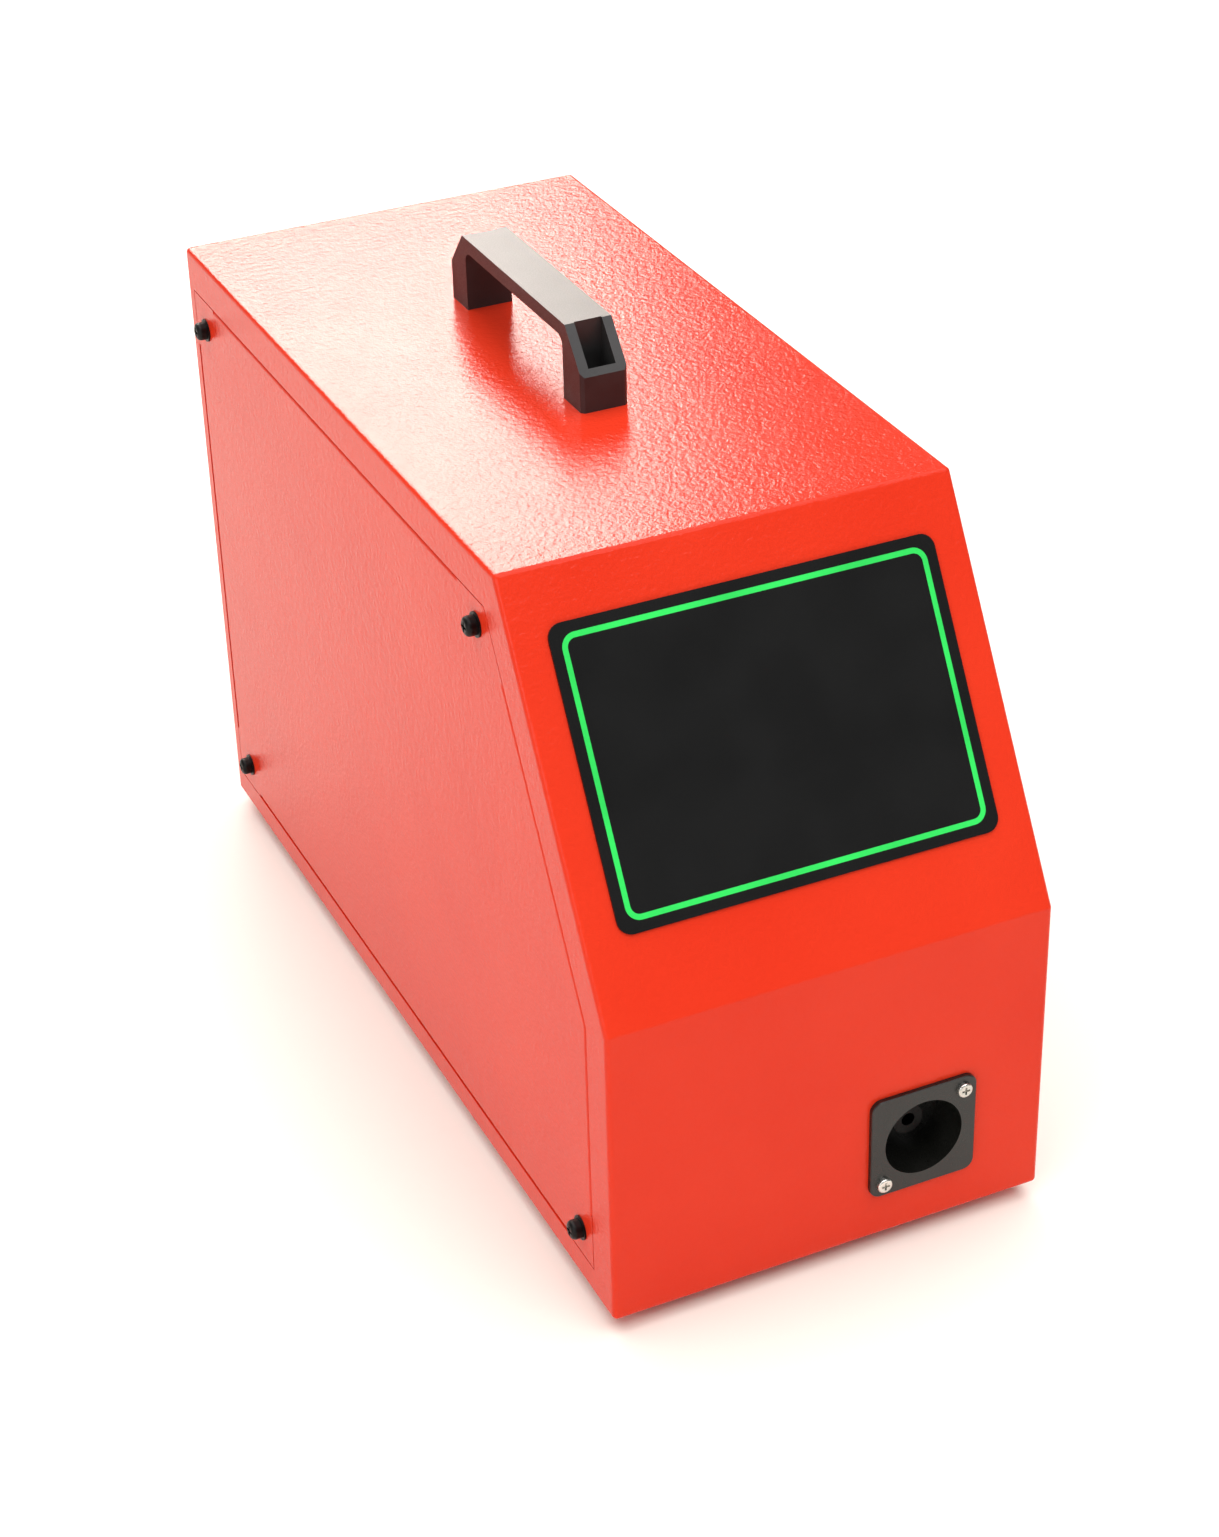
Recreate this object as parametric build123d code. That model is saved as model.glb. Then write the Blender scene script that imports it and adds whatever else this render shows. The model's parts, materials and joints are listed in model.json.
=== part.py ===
"""Wire feeder for welding: sheet steel case, spool bay, four-roll drive and electronics bay.

Frame: X across the case (right side +X), Y along it (front -Y), +Z up, millimetres.
The origin is the centre of the footprint, on the plane that the rubber feet stand on.
"""

import os
from math import acos, atan2, cos, degrees, hypot, pi, radians, sin, tan

from build123d import *

# Case
WIDTH = 260.0
DEPTH = 600.0
HEIGHT = 390.0
FOOT_HEIGHT = 10.0
NOSE_HEIGHT = 185.0
SLOPE_RUN = 120.0
SHEET = 2.0
RIM_RADIUS = 3.0

SIDE = WIDTH / 2
FRONT = -DEPTH / 2
REAR = DEPTH / 2
BOTTOM = FOOT_HEIGHT
TOP = BOTTOM + HEIGHT
NOSE_TOP = BOTTOM + NOSE_HEIGHT
SLOPE_TOP_Y = FRONT + SLOPE_RUN
SLOPE_RISE = TOP - NOSE_TOP
SLOPE_LENGTH = hypot(SLOPE_RUN, SLOPE_RISE)
SLOPE_ANGLE = degrees(atan2(SLOPE_RISE, SLOPE_RUN))

# Side cover and door: the outline of both, and how they are bent
PANEL_TOP_MARGIN = 25.0
PANEL_SLOPE_MARGIN = 25.5
PANEL_FRONT_MARGIN = 25.0
PANEL_BOTTOM_MARGIN = 18.0
PANEL_REAR_MARGIN = 11.0
PANEL_GAP = 0.8
PANEL_FLANGE = 12.0
CORNER_TAB = 35.0

# Fasteners
PANEL_SCREW_SPOTS = [(271.0, 356.0), (268.0, 45.0), (-154.0, 360.0), (-260.0, 45.0)]
SCREW_PROUD = 7.0
BRACKET_REACH = 14.0
WELD_NUT_FLATS = 9.0
WELD_NUT_THICK = 5.0

# Door hinges and latches
HINGE_Y = 294.5
HINGE_X = 133.6
KNUCKLE_R = 3.4
HINGE_PIN_R = 1.6
RUNNING_GAP = 0.05
HINGE_HEIGHTS = (95.0, 325.0)
LATCH_INSET = 18.0
LATCH_LOW_Z = 105.0

# Handle
HANDLE_LENGTH = 184.0
HANDLE_WIDTH = 28.0
HANDLE_HEIGHT = 45.0
HANDLE_HOLES = 160.0
HANDLE_LEG = 24.0
HANDLE_BAR = 8.5
HANDLE_SHOULDER = 21.0
HANDLE_CHAMFER = 20.0
HANDLE_Y = 60.0

# Name plate on the slope
PLATE_WIDTH = 220.0
PLATE_LENGTH = 160.0
PLATE_THICK = 1.2
PLATE_FROM_TOP = 30.0
PLATE_CORNER = 8.0
LINE_INSET = 6.0
LINE_WIDTH = 3.0
LINE_DEPTH = 0.4

# Wire line and outlet
WIRE_X = 54.0
WIRE_Z = 71.0
OUTLET_SIZE = 64.0
OUTLET_THICK = 3.0
OUTLET_CORNER = 6.5
OUTLET_SCREW_OFFSET = 24.0
DISH_R = 23.5
CUP_R = 25.5
CUP_DEPTH = 26.0
CONDUIT_R = 4.0

# Spool hub
HUB_Y = 140.0
HUB_Z = 207.0
HUB_R = 25.0
HUB_FLANGE_R = 56.0
AXLE_R = 10.0
SPOOL_PEG_RADIUS = 44.5

# Wire drive
DRIVE_Y = -140.0
PLATE_BACK_X = 26.0
PLATE_FRONT_X = 36.0
GEAR_MODULE = 1.5
DRIVER_TEETH = 20
DRIVEN_TEETH = 28
GEAR_BACK_X = 38.0
GEAR_FRONT_X = 46.0
FEED_ROLLER_R = 18.0
PRESSURE_ROLLER_R = 15.0
WIRE_GAP = 0.6
SHAFT_R = 6.0
ARM_PIVOT_OFFSET = 60.0
ARM_PIVOT_Z = 100.0
LEVER_OFFSET = 12.0
LEVER_X = 42.0
LEVER_Z = 80.0
LEVER_REST_ANGLE = 75.0
SPRING_SEAT_Z = 97.0
ROLLER_BACK_X = 48.0
ROLLER_FRONT_X = 60.0
ROLLER_PIN_R = 4.0
ROLLER_EDGE = 0.8
DIVIDER_X = -4.0

AXIS_Z = WIRE_Z - FEED_ROLLER_R
GEAR_CENTRES = GEAR_MODULE * (DRIVER_TEETH + DRIVEN_TEETH) / 2
PRESSURE_Z = WIRE_Z + WIRE_GAP + PRESSURE_ROLLER_R
FRONT_ROLLER_Y = DRIVE_Y - GEAR_CENTRES
REAR_ROLLER_Y = DRIVE_Y + GEAR_CENTRES

# Rear panel fittings
INLET_X = -80.0
INLET_Z = 80.0
SWITCH_X = -25.0
SWITCH_Z = 80.0
ROCKER_TILT = 12.0
SIGNAL_X = -80.0
SIGNAL_Z = 150.0
STUD_X = -25.0
STUD_Z = 150.0
REAR_REACH = 305.5

# Push-buttons in the spool bay
BUTTON_Z = 330.0
BUTTON_YS = (-95.0, -65.0)
BUTTON_R = 7.0

FEET_SPOTS = [(x, y) for x in (-100.0, 100.0) for y in (-260.0, 260.0)]


# Basic solids

def block(x0, x1, y0, y1, z0, z1):
    """Box between three pairs of coordinates."""
    return Pos((x0 + x1) / 2, (y0 + y1) / 2, (z0 + z1) / 2) * Box(x1 - x0, y1 - y0, z1 - z0)


def rod_x(x0, x1, y, z, r):
    """Cylinder along X."""
    return Pos((x0 + x1) / 2, y, z) * Rot(0, 90, 0) * Cylinder(r, x1 - x0)


def rod_y(y0, y1, x, z, r):
    """Cylinder along Y."""
    return Pos(x, (y0 + y1) / 2, z) * Rot(90, 0, 0) * Cylinder(r, y1 - y0)


def rod_z(z0, z1, x, y, r):
    """Cylinder along Z."""
    return Pos(x, y, (z0 + z1) / 2) * Cylinder(r, z1 - z0)


def hex_x(x0, x1, y, z, flats):
    """Hexagon bar along X, measured across its flats."""
    outline = RegularPolygon(flats / 2, 6, major_radius=False)
    return Plane.YZ.offset(x0) * Pos(y, z) * extrude(outline, amount=x1 - x0)


def hex_z(z0, z1, x, y, flats):
    """Hexagon bar along Z, measured across its flats."""
    outline = RegularPolygon(flats / 2, 6, major_radius=False)
    return Pos(x, y, z0) * extrude(outline, amount=z1 - z0)


def prism_x(points, x0, x1):
    """Prism along X over an outline of (y, z) points."""
    outline = make_face(Polyline(*points, close=True))
    return Plane.YZ.offset(x0) * extrude(outline, amount=x1 - x0)


def cross_recess(depth, span):
    """Cross-shaped driver recess, its mouth at z = 0 and going down."""
    bar = Box(span, span * 0.24, depth)
    return Pos(0, 0, -depth / 2) * (bar + Rot(0, 0, 90) * bar)


def pan_screw(head_r, head_h, shank_r, length):
    """Pan head screw: the head's seat at z = 0, its shank going down."""
    head = Pos(0, 0, head_h / 2) * Cylinder(head_r, head_h)
    head = fillet(head.edges().group_by(Axis.Z)[-1], head_h * 0.45)
    head -= Pos(0, 0, head_h) * cross_recess(head_h * 0.6, head_r * 1.1)
    return head + Pos(0, 0, -length / 2) * Cylinder(shank_r, length)


def parts_of(*shapes):
    """All solids of the shapes given, as a flat list."""
    found = []
    for shape in shapes:
        found += list(shape.solids())
    return found


def save(name, *shapes):
    """Write one sub-part as parts/NAME.step."""
    export_step(Compound(parts_of(*shapes)), f"parts/{name}.step")


# Outlines of the case and its side panels, as (y, z) points

def case_outline(inset):
    """The case's side outline, moved inwards by the inset."""
    nose_shift = inset * tan(radians(90 - SLOPE_ANGLE) / 2)
    top_shift = inset * tan(radians(SLOPE_ANGLE) / 2)
    return [
        (FRONT + inset, BOTTOM + inset),
        (FRONT + inset, NOSE_TOP - nose_shift),
        (SLOPE_TOP_Y + top_shift, TOP - inset),
        (REAR - inset, TOP - inset),
        (REAR - inset, BOTTOM + inset),
    ]


def panel_outline(inset):
    """The side cover's outline, moved inwards by the inset."""
    front = FRONT + PANEL_FRONT_MARGIN + inset
    rear = REAR - PANEL_REAR_MARGIN - inset
    low = BOTTOM + PANEL_BOTTOM_MARGIN + inset
    high = TOP - PANEL_TOP_MARGIN - inset
    run, rise = SLOPE_RUN / SLOPE_LENGTH, SLOPE_RISE / SLOPE_LENGTH
    margin = PANEL_SLOPE_MARGIN + inset
    foot_y, foot_z = FRONT + margin * rise, NOSE_TOP - margin * run
    knee_z = foot_z + (front - foot_y) * rise / run
    high_y = foot_y + (high - foot_z) * run / rise
    return [(front, low), (front, knee_z), (high_y, high), (rear, high), (rear, low)]


def slope_plane(x, along, lift):
    """Plane on the slope: x across, a distance down from its top edge, lifted off its surface."""
    run, rise = SLOPE_RUN / SLOPE_LENGTH, SLOPE_RISE / SLOPE_LENGTH
    origin = (x, SLOPE_TOP_Y - along * run - lift * rise, TOP - along * rise + lift * run)
    return Plane(origin=origin, x_dir=(1, 0, 0), z_dir=(0, -rise, run))


# Case

def case_shell():
    """The whole hollow case, before it is parted into its sheets."""
    outer = prism_x(case_outline(0), -SIDE, SIDE)
    outer = fillet(outer.edges(), RIM_RADIUS)
    return outer - prism_x(case_outline(SHEET), -SIDE + SHEET, SIDE - SHEET)


def outlet_screw_spots():
    """The outlet flange's two screws, on one diagonal."""
    return [(WIRE_X + s * OUTLET_SCREW_OFFSET, WIRE_Z + s * OUTLET_SCREW_OFFSET) for s in (-1, 1)]


def build_case():
    """Wrap-around panel, both side frames, base pan, rear panel and the flanges behind it."""
    shell = case_shell()
    inner_x = SIDE - SHEET
    slab_left = shell & block(-SIDE, -inner_x, FRONT, REAR, BOTTOM, TOP)
    slab_right = shell & block(inner_x, SIDE, FRONT, REAR, BOTTOM, TOP)
    middle = shell & block(-inner_x, inner_x, FRONT, REAR, BOTTOM, TOP)
    rear_cut = block(-inner_x, inner_x, REAR - SHEET, REAR, BOTTOM + SHEET, TOP - SHEET)
    base_cut = block(-inner_x, inner_x, FRONT, REAR, BOTTOM, BOTTOM + SHEET)

    window = prism_x(panel_outline(-PANEL_GAP), -SIDE - 5, SIDE + 5)
    save("left_side_frame", slab_left - window)
    save("right_side_frame", slab_right - window)

    wrap = middle - rear_cut - base_cut
    wrap -= rod_y(FRONT - 5, FRONT + 5, WIRE_X, WIRE_Z, CUP_R + 0.5)
    for x, z in outlet_screw_spots():
        wrap -= rod_y(FRONT - 5, FRONT + 5, x, z, 2.1)
    for side in (-1, 1):
        wrap -= rod_z(TOP - 5, TOP + 5, 0, HANDLE_Y + side * HANDLE_HOLES / 2, 3.2)
    save("wrap_panel", wrap)

    base = middle & base_cut
    for x, y in FEET_SPOTS:
        base -= rod_z(0, BOTTOM + 5, x, y, 2.1)
    for row in range(5):
        slot_y = -40 + row * 18
        base -= block(-100, -40, slot_y - 3, slot_y + 3, BOTTOM - 1, BOTTOM + 5)
    save("base_pan", base)

    rear = middle & rear_cut
    rear -= block(INLET_X - 14, INLET_X + 14, REAR - 5, REAR + 5, INLET_Z - 10.5, INLET_Z + 10.5)
    for dx in (-20, 20):
        rear -= rod_y(REAR - 5, REAR + 5, INLET_X + dx, INLET_Z, 1.7)
    rear -= block(SWITCH_X - 9, SWITCH_X + 9, REAR - 5, REAR + 5, SWITCH_Z - 14, SWITCH_Z + 14)
    rear -= rod_y(REAR - 5, REAR + 5, SIGNAL_X, SIGNAL_Z, 9.5)
    rear -= rod_y(REAR - 5, REAR + 5, STUD_X, STUD_Z, 3.1)
    for column in range(9):
        for row in (0, 1):
            slot_x = -104 + column * 10
            slot_z = 230 + row * 56
            rear -= block(slot_x - 2, slot_x + 2, REAR - 5, REAR + 5, slot_z, slot_z + 44)
    for x, z in rear_screw_spots():
        rear -= rod_y(REAR - 5, REAR + 5, x, z, 2.1)
    save("rear_panel", rear)

    flanges = []
    behind = REAR - SHEET
    for side in (-1, 1):
        inner, outer = sorted((side * (inner_x - 14), side * inner_x))
        flanges.append(block(inner, outer, behind - SHEET, behind, BOTTOM + 4, TOP - 4))
    flanges.append(block(-inner_x + 15, inner_x - 15, behind - SHEET, behind, TOP - 18, TOP - SHEET))
    drilled = []
    for flange in flanges:
        for x, z in rear_screw_spots():
            flange -= rod_y(behind - 5, behind + 5, x, z, 2.1)
        drilled.append(flange)
    save("rear_flanges", *drilled)


def rear_screw_spots():
    """Eight screws round the rear panel, as (x, z)."""
    edge_x = SIDE - SHEET - 7
    spots = [(side * edge_x, z) for side in (-1, 1) for z in (40.0, 160.0, 280.0)]
    return spots + [(-60.0, TOP - 10), (60.0, TOP - 10)]


def build_case_screws():
    """Screws that hold the rear panel, the power inlet and the feet."""
    screws = []
    for x, z in rear_screw_spots():
        screws.append(Pos(x, REAR, z) * Rot(-90, 0, 0) * pan_screw(3.6, 2.4, 2.0, 9.0))
    for dx in (-20, 20):
        place = Pos(INLET_X + dx, REAR + 3, INLET_Z) * Rot(-90, 0, 0)
        screws.append(place * pan_screw(2.4, 1.6, 1.5, 8.0))
    for x, y in FEET_SPOTS:
        screws.append(Pos(x, y, 5) * Rot(180, 0, 0) * pan_screw(4.0, 2.6, 2.0, 10.0))
        nut = hex_z(BOTTOM + SHEET, BOTTOM + SHEET + 3, x, y, 7)
        screws.append(nut - rod_z(BOTTOM, BOTTOM + 9, x, y, 2.05))
    save("case_screws", *screws)


# Left cover

def panel_sheet(side):
    """Flanged sheet that fills a side window; side is -1 for left and 1 for right."""
    face_x = side * SIDE
    back_x = side * (SIDE - PANEL_FLANGE)
    low_x, high_x = sorted((face_x, back_x))
    body = prism_x(panel_outline(0), low_x, high_x)
    rim = body.faces().sort_by(Axis.X)[0 if side < 0 else -1].edges()
    body = fillet(rim, RIM_RADIUS * 0.8)
    hollow = prism_x(panel_outline(SHEET), min(back_x, side * (SIDE - SHEET)),
                     max(back_x, side * (SIDE - SHEET)))
    return body - hollow


def corner_zones():
    """The five corner squares of the side panel, where the flange is cut away."""
    corners = panel_outline(0)
    zones = []
    for y, z in corners:
        zones.append((y - CORNER_TAB, y + CORNER_TAB, z - CORNER_TAB, z + CORNER_TAB))
    return [zones[0], zones[2], zones[3], zones[4]]


def build_left_cover():
    """Flush left cover with bent flanges, its corner tabs flat."""
    cover = panel_sheet(-1)
    flat = prism_x(panel_outline(0), -SIDE, -SIDE + SHEET)
    for y0, y1, z0, z1 in corner_zones():
        cover -= block(-SIDE - 1, -SIDE + PANEL_FLANGE + 1, y0, y1, z0, z1)
        cover += flat & block(-SIDE - 1, SIDE, y0, y1, z0, z1)
    for y, z in PANEL_SCREW_SPOTS:
        cover -= rod_x(-SIDE - 5, -SIDE + 5, y, z, 2.8)
    save("left_cover", cover)


def build_cover_brackets():
    """Corner plates behind the left cover, each with its weld nut."""
    plates = []
    back_x = -SIDE + SHEET
    reach = BRACKET_REACH
    for y, z in PANEL_SCREW_SPOTS:
        y0, y1 = (y - reach, REAR - 8) if y > 0 else (max(FRONT + 8, y - 18), y + reach)
        z0, z1 = (z - reach, TOP - 16) if z > 200 else (BOTTOM + 5, z + reach)
        plate = block(back_x, back_x + 2, y0, y1, z0, z1)
        plate += hex_x(back_x + 2, back_x + 2 + WELD_NUT_THICK, y, z, WELD_NUT_FLATS)
        plates.append(plate - rod_x(back_x - 1, back_x + 9, y, z, 2.55))
    save("cover_brackets", *plates)


def build_cover_screws():
    """Four black panel screws with washers."""
    screws, washers = [], []
    for y, z in PANEL_SCREW_SPOTS:
        turn = Pos(-SIDE - 1, y, z) * Rot(0, -90, 0)
        screws.append(turn * pan_screw(5.5, SCREW_PROUD - 1, 2.5, 12.0))
        ring = rod_x(-SIDE - 1, -SIDE, y, z, 7) - rod_x(-SIDE - 2, -SIDE + 1, y, z, 2.6)
        washers.append(ring)
    save("cover_screws", *screws, *washers)


# Right door, hinges and latches

def latch_spots():
    """Each latch as (y, z, angle): the angle turns it from pointing down to lie along its edge."""
    slope_turn = 90 - SLOPE_ANGLE
    run, rise = SLOPE_RUN / SLOPE_LENGTH, SLOPE_RISE / SLOPE_LENGTH
    foot_y, foot_z = panel_outline(LATCH_INSET)[1]
    along = 110.0
    front_y = FRONT + PANEL_FRONT_MARGIN + LATCH_INSET
    return [(front_y, LATCH_LOW_Z, 0.0), (foot_y + along * run, foot_z + along * rise, -slope_turn)]


def latch_turn(y, z, angle):
    """Placement of a latch that is built pointing down at the origin, facing +X."""
    return Pos(0, y, z) * Rot(angle, 0, 0)


def build_door():
    """Right door with bent flanges, notched where the latch cams pass."""
    door = panel_sheet(1)
    for y, z, angle in latch_spots():
        door -= rod_x(SIDE - 5, SIDE + 5, y, z, 9.05)
        notch = block(SIDE - PANEL_FLANGE - 1, SIDE - SHEET, -25, -12, -30, 10)
        door -= latch_turn(y, z, angle) * notch
    for z in HINGE_HEIGHTS:
        for dz in (-12, 12):
            door -= rod_x(SIDE - 5, SIDE + 5, HINGE_Y - 20, z + dz, 2.1)
    save("right_door", door)
    pull = Pos(SIDE, FRONT + PANEL_FRONT_MARGIN + 30, 150) * Rot(0, 90, 0)
    grip = pull * (Pos(0, 0, 2) * Box(60, 16, 4) - Pos(0, 0, 3) * Box(52, 9, 4))
    save("door_pull", fillet(grip.edges().filter_by(Axis.X), 2))


def build_hinges():
    """Two butt hinges: welded knuckles, pins, and the leaves that the door carries."""
    fixed, pins, leaves, screws = [], [], [], []
    for z in HINGE_HEIGHTS:
        for z0, z1 in ((z - 24, z - 9), (z + 9, z + 24)):
            knuckle = rod_z(z0, z1, HINGE_X, HINGE_Y, KNUCKLE_R)
            knuckle += block(SIDE, SIDE + 1.5, HINGE_Y, REAR - 1, z0, z1)
            fixed.append(knuckle - rod_z(z0 - 1, z1 + 1, HINGE_X, HINGE_Y, HINGE_PIN_R))
        pin = rod_z(z - 24, z + 24, HINGE_X, HINGE_Y, HINGE_PIN_R)
        pin += rod_z(z + 24, z + 25.5, HINGE_X, HINGE_Y, KNUCKLE_R - 0.6)
        pins.append(pin)
        leaf = rod_z(z - 8.6, z + 8.6, HINGE_X, HINGE_Y, KNUCKLE_R)
        leaf += block(SIDE, SIDE + 1.5, HINGE_Y - 30, HINGE_Y - 7, z - 18, z + 18)
        leaf += block(SIDE, SIDE + 1.5, HINGE_Y - 8, HINGE_Y, z - 8.6, z + 8.6)
        leaf -= rod_z(z - 20, z + 20, HINGE_X, HINGE_Y, HINGE_PIN_R + RUNNING_GAP)
        for dz in (-12, 12):
            leaf -= rod_x(SIDE - 5, SIDE + 5, HINGE_Y - 20, z + dz, 2.1)
            place = Pos(SIDE + 1.5, HINGE_Y - 20, z + dz) * Rot(0, 90, 0)
            screws.append(place * pan_screw(3.6, 2.2, 2.0, 7.0))
        leaves.append(leaf)
    save("hinge_knuckles", *fixed, *pins)
    save("hinge_leaves", *leaves, *screws)


def build_latches():
    """Quarter-turn wing latches: bezels and nuts on the door, knobs and cams that turn."""
    bezels, nuts = [], []
    for name, (y, z, angle) in zip(("latch_low", "latch_high"), latch_spots()):
        bezel = rod_x(SIDE, SIDE + 2, y, z, 12) + rod_x(SIDE - 5, SIDE, y, z, 9)
        bezels.append(bezel - rod_x(SIDE - 6, SIDE + 3, y, z, 5 + RUNNING_GAP))
        nut = hex_x(SIDE - 4, SIDE - SHEET, y, z, 23)
        nuts.append(nut - rod_x(SIDE - 6, SIDE, y, z, 9))
        knob = rod_x(SIDE + 2.2, SIDE + 4.2, 0, 0, 11)
        knob += block(SIDE + 4.2, SIDE + SCREW_PROUD, -2.5, 2.5, -10.5, 10.5)
        knob += rod_x(SIDE - 8.5, SIDE + 2.2, 0, 0, 5)
        knob += block(SIDE - 8.5, SIDE - 5.4, -6, 6, -30, 6)
        save(name, latch_turn(y, z, angle) * knob)
    save("latch_bezels", *bezels, *nuts)


# Handle

def build_handle():
    """Bridge handle with chamfered ends and screw pockets, and its two screws."""
    half = HANDLE_LENGTH / 2
    top_half = half - HANDLE_CHAMFER
    outline = [
        (-half, 0), (-half, HANDLE_SHOULDER), (-top_half, HANDLE_HEIGHT),
        (top_half, HANDLE_HEIGHT), (half, HANDLE_SHOULDER), (half, 0),
    ]
    body = prism_x(outline, -HANDLE_WIDTH / 2, HANDLE_WIDTH / 2)
    body = chamfer(body.edges().filter_by(Axis.Z), 2.0)
    grip = half - HANDLE_LEG
    gap = block(-HANDLE_WIDTH, HANDLE_WIDTH, -grip, grip, -1, HANDLE_HEIGHT - HANDLE_BAR)
    gap_top = gap.edges().filter_by(Axis.X).group_by(Axis.Z)[-1]
    body -= fillet(gap_top, 6)
    screws = []
    for side in (-1, 1):
        y = side * HANDLE_HOLES / 2
        low, high = sorted((side * (half - 3), side * (half - 21)))
        body -= block(-8.2, 8.2, low, high, 10, HANDLE_HEIGHT + 1)
        body -= rod_z(-1, 20, 0, y, 3.1)
        screws.append(Pos(0, HANDLE_Y + y, TOP + 10) * pan_screw(5.5, 4, 3.0, 22.0))
        nut = hex_z(TOP - 8, TOP - SHEET, 0, HANDLE_Y + y, 10)
        screws.append(nut - rod_z(TOP - 12, TOP, 0, HANDLE_Y + y, 3.05))
    save("handle", Pos(0, HANDLE_Y, TOP) * body)
    save("handle_screws", *screws)


# Name plate

def rounded_slab(plane, width, length, corner, thick):
    """Rounded rectangle on a plane, raised by its thickness."""
    return plane * extrude(RectangleRounded(width, length, corner), amount=thick)


def build_name_plate():
    """Blank name plate on the slope, with an inlaid border line."""
    along = PLATE_FROM_TOP + PLATE_LENGTH / 2
    plate = rounded_slab(slope_plane(0, along, 0), PLATE_WIDTH, PLATE_LENGTH, PLATE_CORNER, PLATE_THICK)
    sunk = slope_plane(0, along, PLATE_THICK - LINE_DEPTH)
    inner_inset = LINE_INSET + LINE_WIDTH
    ring = rounded_slab(sunk, PLATE_WIDTH - 2 * LINE_INSET, PLATE_LENGTH - 2 * LINE_INSET, 8, LINE_DEPTH)
    ring -= rounded_slab(sunk, PLATE_WIDTH - 2 * inner_inset, PLATE_LENGTH - 2 * inner_inset, 5, LINE_DEPTH)
    save("name_plate", plate - ring)
    save("border_line", ring)


# Outlet

def build_outlet():
    """Square outlet flange with its deep dish, screws and the conduit socket inside."""
    face = FRONT - OUTLET_THICK
    facing = Plane(origin=(WIRE_X, FRONT, WIRE_Z), x_dir=(1, 0, 0), z_dir=(0, -1, 0))
    flange = rounded_slab(facing, OUTLET_SIZE, OUTLET_SIZE, OUTLET_CORNER, OUTLET_THICK)
    flange = chamfer(flange.edges().group_by(Axis.Y)[0], 0.5)
    flange += rod_y(FRONT, FRONT + CUP_DEPTH, WIRE_X, WIRE_Z, CUP_R)
    flange -= rod_y(face - 1, FRONT + CUP_DEPTH - 2, WIRE_X, WIRE_Z, DISH_R)
    flange -= rod_y(face, FRONT + CUP_DEPTH + 1, WIRE_X, WIRE_Z, 9)
    screws = []
    for x, z in outlet_screw_spots():
        flange -= rod_y(face - 1, FRONT + 1, x, z, 2.1)
        screws.append(Pos(x, face, z) * Rot(90, 0, 0) * pan_screw(4.4, 2.5, 2.0, 10.0))
    save("outlet_flange", flange)
    save("outlet_screws", *screws)
    cup_back = FRONT + CUP_DEPTH
    socket = rod_y(cup_back - 12, cup_back + 14, WIRE_X, WIRE_Z, 9)
    socket += rod_y(cup_back, cup_back + 5, WIRE_X, WIRE_Z, 14)
    socket -= rod_y(cup_back - 13, cup_back + 8, WIRE_X, WIRE_Z, CONDUIT_R)
    socket -= rod_y(cup_back + 8, cup_back + 15, WIRE_X, WIRE_Z, 3.5)
    save("conduit_socket", socket)


# Feet

def build_feet():
    """Rubber feet, each with a recess for its screw."""
    feet = []
    for x, y in FEET_SPOTS:
        foot = Pos(x, y, FOOT_HEIGHT / 2) * Cone(11.5, 13, FOOT_HEIGHT)
        foot -= rod_z(-1, 5, x, y, 5)
        feet.append(foot - rod_z(-1, 11, x, y, 2.1))
    save("feet", *feet)


# Divider and spool hub

def build_divider():
    """Upright sheet between the spool bay and the electronics bay, with a foot flange."""
    sheet = prism_x(case_outline(SHEET + 1), DIVIDER_X, DIVIDER_X + SHEET)
    foot_z = BOTTOM + SHEET
    flange = block(DIVIDER_X - 16, DIVIDER_X + SHEET, -240, 280, foot_z, foot_z + SHEET)
    divider = sheet + flange
    motor_hole = block(-6, 0, DRIVE_Y - 28, DRIVE_Y + 28, AXIS_Z - 28, AXIS_Z + 28)
    cable_hole = rod_x(-6, 0, -80, 300, 8)
    divider -= motor_hole + cable_hole
    divider -= rod_x(-6, 0, HUB_Y, HUB_Z, AXLE_R)
    divider -= block(-6, 0, REAR - 6, REAR, BOTTOM, TOP)
    for side in (-1, 1):
        screw_y = HANDLE_Y + side * HANDLE_HOLES / 2
        divider -= block(-6, 0, screw_y - 9, screw_y + 9, TOP - 16, TOP)
    save("divider", divider)


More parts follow.
